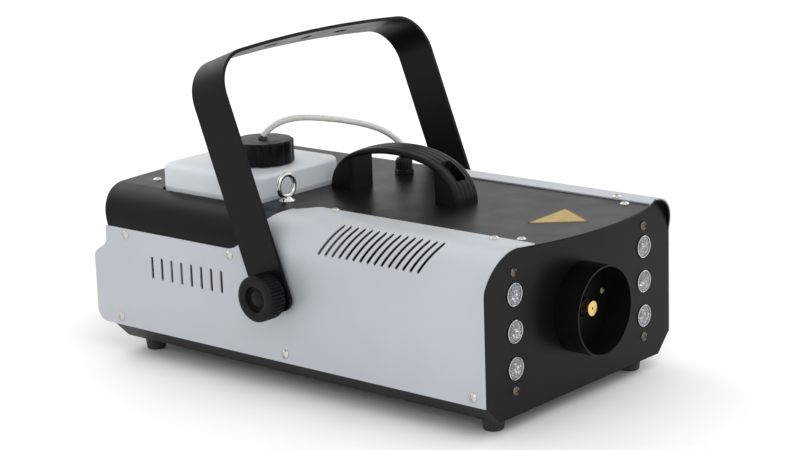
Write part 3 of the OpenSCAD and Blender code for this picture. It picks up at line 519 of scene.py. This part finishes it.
def make_hose():
    """The suction hose from the tank's cap over to the gland, on one smooth curve."""
    curve = bpy.data.curves.new("suction_hose_tube", "CURVE")
    curve.dimensions = "3D"
    curve.bevel_depth = 1
    curve.bevel_resolution = 8
    curve.resolution_u = 8
    curve.use_fill_caps = True
    line = curve.splines.new("BEZIER")
    line.bezier_points.add(len(HOSE_ROUTE) - 1)
    for knot, point in zip(line.bezier_points, HOSE_ROUTE):
        knot.co = Vector(point) * MM
        knot.radius = HOSE_D / 2
        knot.handle_left_type = "AUTO"
        knot.handle_right_type = "AUTO"
    hose = bpy.data.objects.new("suction_hose_tube", curve)
    bpy.context.scene.collection.objects.link(hose)
    bpy.context.view_layer.update()
    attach(hose, "chassis")
    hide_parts("suction_hose")
    return hose


# ---- tank, cap and fittings on top ----

def make_tank(materials):
    """Blow-moulded tank with round corners, a seam line near its top and a neck for the cap."""
    low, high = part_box("tank")
    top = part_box("tank_cap")[0].z - 0.6 * MM
    foot = 6
    edge = 4
    corner = 13
    seam = top / MM - 20
    rings = [(foot - r, low.z / MM + foot + h) for r, h in arc(foot, -80, 0, 6)]
    rings += [(0, seam - 1), (-0.25, seam - 0.4), (-0.25, seam + 0.4), (0, seam + 1)]
    rings += [(edge - r, top / MM - edge - 0.5 + h) for r, h in arc(edge, 0, 84, 8)]
    rings += [(3 * edge, top / MM - 0.1), (6 * edge, top / MM)]
    outlines = []
    for inset, z in rings:
        shrink = Vector((inset, inset, 0)) * MM
        radius = max(corner - inset, 2.5) * MM
        outlines.append(rounded_ring(low + shrink, high - shrink, radius, z * MM, 10))
    bm = bmesh.new()
    loft(bm, outlines)
    cap_low, cap_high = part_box("tank_cap")
    centre = (cap_low + cap_high) / 2
    neck = 21 * MM
    turned(bm, Vector((centre.x, centre.y, top)), "z",
           [(neck + 2 * MM, -0.5 * MM), (neck + 2 * MM, 0.2 * MM), (neck, 0.5 * MM), (neck, 14 * MM)])
    return piece_from(bm, "fluid_tank", "tank", materials)


def make_cap(materials):
    """Screw cap with broad flutes parted by narrow grooves."""
    low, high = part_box("tank_cap")
    centre = (low + high) / 2
    base = Vector((centre.x, centre.y, low.z))
    r = (high.x - low.x) / 2
    tall = high.z - low.z
    flutes = 12
    groove_width = 0.07
    groove_depth = 0.035
    swell = 0.012
    fade_over = 2.5 * MM

    def ripple(angle, distance):
        phase = (angle * flutes / (2 * math.pi)) % 1
        groove = math.exp(-((min(phase, 1 - phase)) / groove_width) ** 2)
        bulge = swell * math.cos(2 * math.pi * (phase - 0.5))
        fade = min(1.0, max(0.0, (tall - distance) / fade_over))
        return 1 - swell + bulge - groove_depth * groove * fade

    bm = bmesh.new()
    edge = 1.6 * MM
    profile = [(r - 0.8 * MM, 0), (r, 0.8 * MM), (r - 0.1 * MM, tall - edge)]
    profile += [(r - edge + h, tall - edge + v) for h, v in arc(edge, 15, 90, 5)]
    turned(bm, base, "z", profile, 360, ripple)
    return piece_from(bm, "cap_fluted", "tank_cap", materials, smooth=50)


def make_hose_boot(materials):
    """Low rubber boot on the cap's top, where the hose leaves it on a slant."""
    low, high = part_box("tank_cap")
    centre = Vector(((low.x + high.x) / 2, (low.y + high.y) / 2, high.z + 0.05 * MM))
    profile = [(4.2, 0), (4.2, 0.4), (3.8, 1.3), (3.2, 2.2), (1.6, 2.9)]
    bm = bmesh.new()
    turned(bm, centre, "z", [(r * MM, z * MM) for r, z in profile], 64)
    return piece_from(bm, "hose_boot", "suction_hose", materials, "rubber", replaces=False)


def make_eye(materials):
    """Forged eye: a round ring that thickens into its collar."""
    low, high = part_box("eye_bolt")
    wire = 2.2 * MM
    ring = 9.7 * MM
    centre = Vector(((low.x + high.x) / 2, (low.y + high.y) / 2, high.z - ring - wire))
    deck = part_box("top_shell")[1].z
    bm = bmesh.new()
    steps = 96
    around = 24
    loops = []
    for i in range(steps):
        angle = 2 * math.pi * i / steps
        foot = max(0.0, -math.sin(angle)) ** 6
        thick = wire * (1 + 0.35 * foot)
        out = Vector((math.cos(angle), 0, math.sin(angle)))
        loop = []
        for k in range(around):
            turn = 2 * math.pi * k / around
            loop.append(bm.verts.new(centre + out * (ring + thick * math.cos(turn) * 0.98)
                                     + Vector((0, thick * math.sin(turn), 0))))
        loops.append(loop)
    for i in range(steps):
        here, there = loops[i], loops[(i + 1) % steps]
        for k in range(around):
            n = (k + 1) % around
            bm.faces.new((here[k], here[n], there[n], there[k]))
    stem = centre.z - ring - deck
    collar = 7.3 * MM
    profile = [(3.9 * MM, low.z - deck), (3.9 * MM, 0), (collar, 0.1 * MM), (collar, 0.8 * MM),
               (collar - 0.6 * MM, 1.3 * MM), (4.4 * MM, 2.7 * MM), (3.5 * MM, 4.2 * MM), (2.4 * MM, stem)]
    turned(bm, Vector((centre.x, centre.y, deck)), "z", profile, 64)
    return piece_from(bm, "eye_forged", "eye_bolt", materials, smooth=50)


def make_gland(materials):
    """Hose gland: hexagon foot, fluted nut and a clamping collar."""
    low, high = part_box("hose_gland")
    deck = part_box("top_shell")[1].z
    centre = Vector(((low.x + high.x) / 2, (low.y + high.y) / 2, deck))
    tall = high.z - deck
    r = min(high.x - low.x, high.y - low.y) / 2

    def flutes(angle, distance):
        return 1 - 0.06 * max(0.0, math.cos(12 * angle)) ** 2

    bm = bmesh.new()
    hexagon = r * 0.98
    turned(bm, centre, "z", [(hexagon - 0.5 * MM, 0), (hexagon, 0.5 * MM), (hexagon, 4 * MM),
                             (hexagon - 0.6 * MM, 4.6 * MM)], 6)
    body = r * 0.86
    turned(bm, centre, "z", [(body, 4.6 * MM), (body, 5.2 * MM), (body, tall * 0.72),
                             (body * 0.8, tall * 0.86), (HOSE_D / 2 + 1.6 * MM, tall * 0.9)], 144, flutes)
    inner = HOSE_D / 2 + 0.1 * MM
    ring_band(bm, centre, "z", [(inner, tall * 0.85), (inner + 1.3 * MM, tall * 0.85),
                                (inner + 1.1 * MM, tall), (inner, tall)], 64)
    return piece_from(bm, "gland_fluted", "hose_gland", materials)


# ---- carrying handle ----

def make_handle(materials):
    """Strap handle: a crowned, grooved bow between two hollow legs."""
    low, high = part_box("carry_handle")
    centre = (low + high) / 2
    half_l = (high.y - low.y) / 2
    rise = high.z - low.z
    half_w = (high.x - low.x) / 2
    swell = 2 / 2.2
    leg = 47 * MM
    edge = 2.2 * MM
    under_height = 37 * MM
    under_sag = 8 * MM
    groove_depth = 0.6 * MM
    groove_width = 0.55 * MM
    grooves_at = (-8.5, -2.9, 2.9, 8.5)
    stations = 60
    over_steps = 90
    under_steps = 40
    rings = []
    for i in range(stations + 1):
        x = -half_w + 2 * half_w * (0.5 - 0.5 * math.cos(math.pi * i / stations))
        over = max(0.0, abs(x) - (half_w - edge))
        inset = edge - math.sqrt(max(0.0, edge ** 2 - over ** 2))
        groove = sum(groove_depth * math.exp(-((x - at * MM) / groove_width) ** 2) for at in grooves_at)
        crown = 1.0 * MM * (x / half_w) ** 2
        ring = []
        for step in range(over_steps + 1):
            angle = math.pi * step / over_steps
            drop = inset + (groove + crown) * math.sin(angle) ** 0.5
            y = (half_l - drop) * math.copysign(abs(math.cos(angle)) ** swell, math.cos(angle))
            z = (rise - drop) * abs(math.sin(angle)) ** swell
            ring.append(Vector((centre.x + x, centre.y + y, low.z + z)))
        under = inset * 0.8
        for step in range(under_steps + 1):
            u = -1 + 2 * step / under_steps
            y = (leg + under) * u
            z = under_height - under_sag * u * u + under
            if step in (0, under_steps):
                ring.append(Vector((centre.x + x, centre.y + y, low.z + (0 if step == 0 else z))))
                ring.append(Vector((centre.x + x, centre.y + y, low.z + (z if step == 0 else 0))))
            else:
                ring.append(Vector((centre.x + x, centre.y + y, low.z + z)))
        rings.append(ring)
    bm = bmesh.new()
    loft(bm, rings)
    handle = piece_from(bm, "handle_bow", "carry_handle", materials, smooth=38)
    for side in (-1, 1):
        cut_pocket(handle, centre, low.z, side, half_l)
    return handle


def cut_pocket(handle, centre, floor, side, half_l):
    """The screw well in one leg, open through the sloping top."""
    bm = bmesh.new()
    rings = []
    for grow, z in ((0, 8), (1.6, 60)):
        half = (6.2 + grow * 0.4) * MM
        near = half_l - 24 * MM - grow * MM
        far = half_l - 6.5 * MM + grow * 0.4 * MM
        low = Vector((centre.x - half, centre.y + min(side * near, side * far), 0))
        high = Vector((centre.x + half, centre.y + max(side * near, side * far), 0))
        rings.append(rounded_ring(low, high, 1.4 * MM, floor + z * MM, 5))
    loft(bm, rings)
    bmesh.ops.recalc_face_normals(bm, faces=bm.faces)
    mesh = bpy.data.meshes.new("pocket")
    bm.to_mesh(mesh)
    bm.free()
    cutter = bpy.data.objects.new("pocket", mesh)
    bpy.context.scene.collection.objects.link(cutter)
    cut = handle.modifiers.new("pocket", "BOOLEAN")
    cut.operation = "DIFFERENCE"
    cut.object = cutter
    bpy.context.view_layer.update()
    made = bpy.data.meshes.new_from_object(handle.evaluated_get(bpy.context.evaluated_depsgraph_get()))
    handle.modifiers.clear()
    handle.data = made
    made.shade_smooth()
    made.set_sharp_from_angle(angle=math.radians(38))
    bpy.data.objects.remove(cutter)


# ---- knobs ----

def make_knob(node, materials):
    """Fluted clamping knob with a recessed hub and a domed centre, facing outwards."""
    low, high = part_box(node)
    out = 1 if high.x > 0 else -1
    centre = Vector((low.x if out > 0 else high.x, (low.y + high.y) / 2, (low.z + high.z) / 2))
    r = (high.z - low.z) / 2
    thick = high.x - low.x
    flutes = 38
    flute_depth = 0.055
    flute_start = 2.2 * MM
    flute_stop = thick - 1.9 * MM
    fade_over = 0.8 * MM

    def ripple(angle, distance):
        depth = abs(distance)
        fade_in = max(0.0, (depth - flute_start) / fade_over)
        fade_out = max(0.0, (flute_stop - depth) / fade_over)
        fade = min(1.0, fade_in, fade_out)
        return 1 - flute_depth * fade * (0.5 - 0.5 * math.cos(flutes * angle)) ** 1.5

    end = thick / MM
    profile = [(12, 0), (12.6, 0.4), (12.6, 2), (18, 2), (19.4, 2.3), (20, 3.0), (20, 4), (20, 5),
               (20, end - 3.2), (20, end - 2.2), (19.6, end - 0.9), (18.6, end - 0.2), (17.6, end),
               (12.2, end), (11.2, end - 0.3), (10.8, end - 1.2), (10.6, end - 3.4), (9.6, end - 3.7),
               (8.2, end - 3.2), (6.5, end - 2.3), (4.2, end - 1.5), (1.8, end - 1.1), (0.3, end - 1.0)]
    scale = r / (20 * MM)
    bm = bmesh.new()
    turned(bm, centre, "x", [(p * MM * scale, out * d * MM) for p, d in profile], flutes * 12, ripple)
    return piece_from(bm, node + "_fluted", node, materials, smooth=45)


# ---- nozzle and label ----

def make_nozzle(materials):
    """Brass jet with a drilled face, on a hexagonal nut painted black as painted shade."""
    low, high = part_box("nozzle_tip")
    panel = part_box("front_panel")[0].y
    centre = Vector(((low.x + high.x) / 2, panel, (low.z + high.z) / 2))
    face = (low.y - panel) / MM
    bore = 1.0
    stem = 4.9
    head = 6.7
    back = 17.9
    profile = [(bore, back), (bore, face + 0.3), (bore + 0.3, face), (head - 0.9, face),
               (head - 0.4, face + 0.15), (head, face + 0.8), (head, -5.2), (stem, -5.1), (stem, back)]
    jet = bmesh.new()
    ring_band(jet, centre, "y", [(r * MM, d * MM) for r, d in profile])
    piece_from(jet, "nozzle_jet", "nozzle_tip", materials)
    hole = stem + 0.05
    corner = 8.6
    profile = [(hole, 0.3), (hole, -5.4), (corner - 0.7, -5.4), (corner, -4.8), (corner, 0.3)]
    nut = bmesh.new()
    ring_band(nut, centre, "y", [(r * MM, d * MM) for r, d in profile], 6)
    # The nut is painted black as painted shade: it sits in the shadow behind the jet.
    piece_from(nut, "nozzle_nut", "nozzle_tip", materials, "black_paint", 20, False)


def make_label_border(materials):
    """A thin dark line printed just inside the warning triangle's edge."""
    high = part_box("top_label")[1]
    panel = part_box("front_panel")[0].y
    corners = [Vector((x * MM, panel + y * MM, high.z)) for x, y in ((-28, 34), (5, -5), (32, 38))]
    centre = sum(corners, Vector()) / 3
    bm = bmesh.new()
    loops = []
    for scale, lift in ((0.97, -0.05), (0.97, 0.03), (0.90, 0.03), (0.90, -0.05)):
        up = Vector((0, 0, lift * MM))
        loops.append([bm.verts.new(centre + (corner - centre) * scale + up) for corner in corners])
    for here, there in zip(loops, loops[1:] + loops[:1]):
        for i in range(3):
            j = (i + 1) % 3
            bm.faces.new((here[i], here[j], there[j], there[i]))
    return piece_from(bm, "label_border", "top_label", materials, "black_plastic", replaces=False)


# ---- lamps ----

def make_lamps(node, materials):
    """Three lamps: a bright rim, a dimpled reflector cone, a dark diode and a clear front lens."""
    low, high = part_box(node)
    side = "left" if low.x < 0 else "right"
    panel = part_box("front_panel")[0].y
    r = (high.x - low.x) / 2
    pitch = (high.z - low.z - 2 * r) / 2
    rim = r / MM - 0.2
    profiles = {
        "rims": [(rim - 0.9, 0.5), (rim - 0.8, -1.0), (rim - 0.4, -1.3), (rim, -1.0), (rim, 0.8)],
        "reflectors": [(rim - 0.8, -0.3), (rim - 0.8, 0.5), (3.4, 7.6), (3.1, 7.2), (4.4, 3.9)],
        "diodes": [(3.3, 7.6), (3.3, 7.0), (2.7, 6.6), (2.5, 3.2), (1.8, 2.4), (0.5, 2.1)],
        "lenses": [(rim - 0.9, 0.2), (rim - 0.9, -0.5), (rim * 0.62, -0.95), (rim * 0.3, -1.15),
                   (0.3, -1.2)],
    }
    makers = {"rims": (ring_band, 96), "reflectors": (ring_band, 48), "diodes": (turned, 32),
              "lenses": (turned, 72)}
    parts = {name: bmesh.new() for name in profiles}
    for i in range(3):
        centre = Vector(((low.x + high.x) / 2, panel, low.z + r + i * pitch))
        for name, profile in profiles.items():
            make, steps = makers[name]
            make(parts[name], centre, "y", [(p * MM, d * MM) for p, d in profile], steps)
    lamp = side + "_lamp_"
    piece_from(parts["rims"], lamp + "rims", node, materials, "chrome")
    piece_from(parts["reflectors"], lamp + "reflectors", node, materials, "chrome", 12, False,
               finish="reflector")
    piece_from(parts["diodes"], lamp + "diodes", node, materials, "black_plastic", replaces=False)
    piece_from(parts["lenses"], lamp + "lenses", node, materials, "lens", replaces=False)


# ---- scene ----

def make_studio():
    """White surroundings, a pale floor and soft boxes at the front left, at the right and behind."""
    world = bpy.data.worlds.new("studio")
    world.use_nodes = True
    world.node_tree.nodes["Background"].inputs["Color"].default_value = (1, 1, 1, 1)
    world.node_tree.nodes["Background"].inputs["Strength"].default_value = 1.0
    bpy.context.scene.world = world
    bpy.context.scene.view_settings.view_transform = "Standard"
    soft_boxes = (("key", (-1.6, -2.2, 2.6), 2.2, 26), ("side", (2.4, -0.6, 1.8), 1.8, 10),
                  ("back", (0.4, 2.6, 2.0), 2.0, 14))
    for name, place, size, power in soft_boxes:
        light = bpy.data.lights.new(name, "AREA")
        light.size = size
        light.energy = power
        lamp = bpy.data.objects.new(name, light)
        lamp.location = place
        aim = Vector((0, 0, 0.1)) - Vector(place)
        lamp.rotation_euler = aim.to_track_quat("-Z", "Y").to_euler()
        bpy.context.scene.collection.objects.link(lamp)
    mesh = bpy.data.meshes.new("floor")
    reach = 12
    mesh.from_pydata([(-reach, -reach, 0), (reach, -reach, 0), (reach, reach, 0), (-reach, reach, 0)], [],
                     [(0, 1, 2, 3)])
    floor = bpy.data.objects.new("floor", mesh)
    bpy.context.scene.collection.objects.link(floor)
    m = Recipe("floor_paint")
    m.colour(m.blend(m.noise(3, 4), (0.93, 0.93, 0.93), (0.96, 0.96, 0.96)))
    m.rough(m.spread(m.noise(20, 3), 0.6, 0.8))
    mesh.materials.append(m.material)


def main():
    make_camera()
    hose = make_hose()
    materials = make_materials()
    hose.data.materials.append(materials["clear_hose"])
    for node, carried in frame["nodes"].items():
        carried.data.materials.clear()
        carried.data.materials.append(materials[SLOT_OF[node]])
    make_tank(materials)
    make_cap(materials)
    make_hose_boot(materials)
    make_eye(materials)
    make_gland(materials)
    make_handle(materials)
    make_knob("left_knob", materials)
    make_knob("right_knob", materials)
    make_lamps("left_lenses", materials)
    make_lamps("right_lenses", materials)
    for node in ("top_shell", "left_cover", "right_cover", "front_panel", "rear_panel", "base_tray"):
        crisp(node, materials, 0.25 * MM)
    crisp("yoke", materials, 0.45 * MM)
    make_nozzle(materials)
    make_label_border(materials)
    for node in ("outlet_tube", "feet", "cover_screws", "panel_screws", "top_label"):
        crisp(node, materials, 0.12 * MM)
    make_studio()


main()
